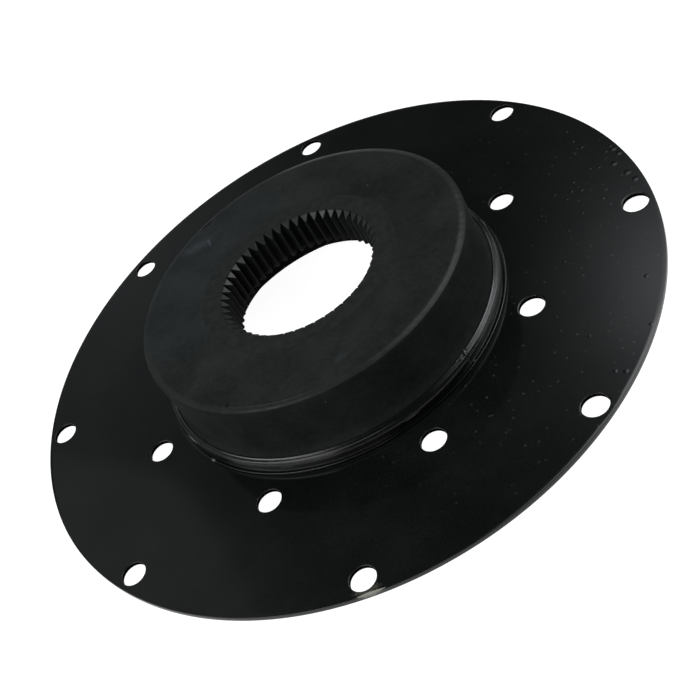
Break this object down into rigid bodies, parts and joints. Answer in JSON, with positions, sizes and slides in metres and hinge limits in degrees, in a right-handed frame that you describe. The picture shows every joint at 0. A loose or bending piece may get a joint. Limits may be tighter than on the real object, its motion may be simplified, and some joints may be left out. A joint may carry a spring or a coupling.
{
  "type": "drive coupling",
  "caption": "Flywheel drive coupling: thin black steel flex plate with rings of bolt holes, carrying a bonded rubber hub round an internally toothed sleeve.",
  "frame": {"origin": "centre of the plate's rear face, on the coupling's axis", "axes": "+Z along the axis of rotation, from the flywheel side towards the hub's open end; +X through the centre of one hole of the outer bolt circle"},
  "size_m": [0.3524, 0.3524, 0.045],
  "materials": {
    "plate_paint": "satin",
    "ring_paint": "gloss",
    "moulded_rubber": "matte",
    "sleeve_steel": "matte"
  },
  "bodies": {
    "root": {"flange_plate": "plate_paint", "base_ring": "ring_paint", "rubber_body": "moulded_rubber", "toothed_sleeve": "sleeve_steel"}
  },
  "joints": []
}
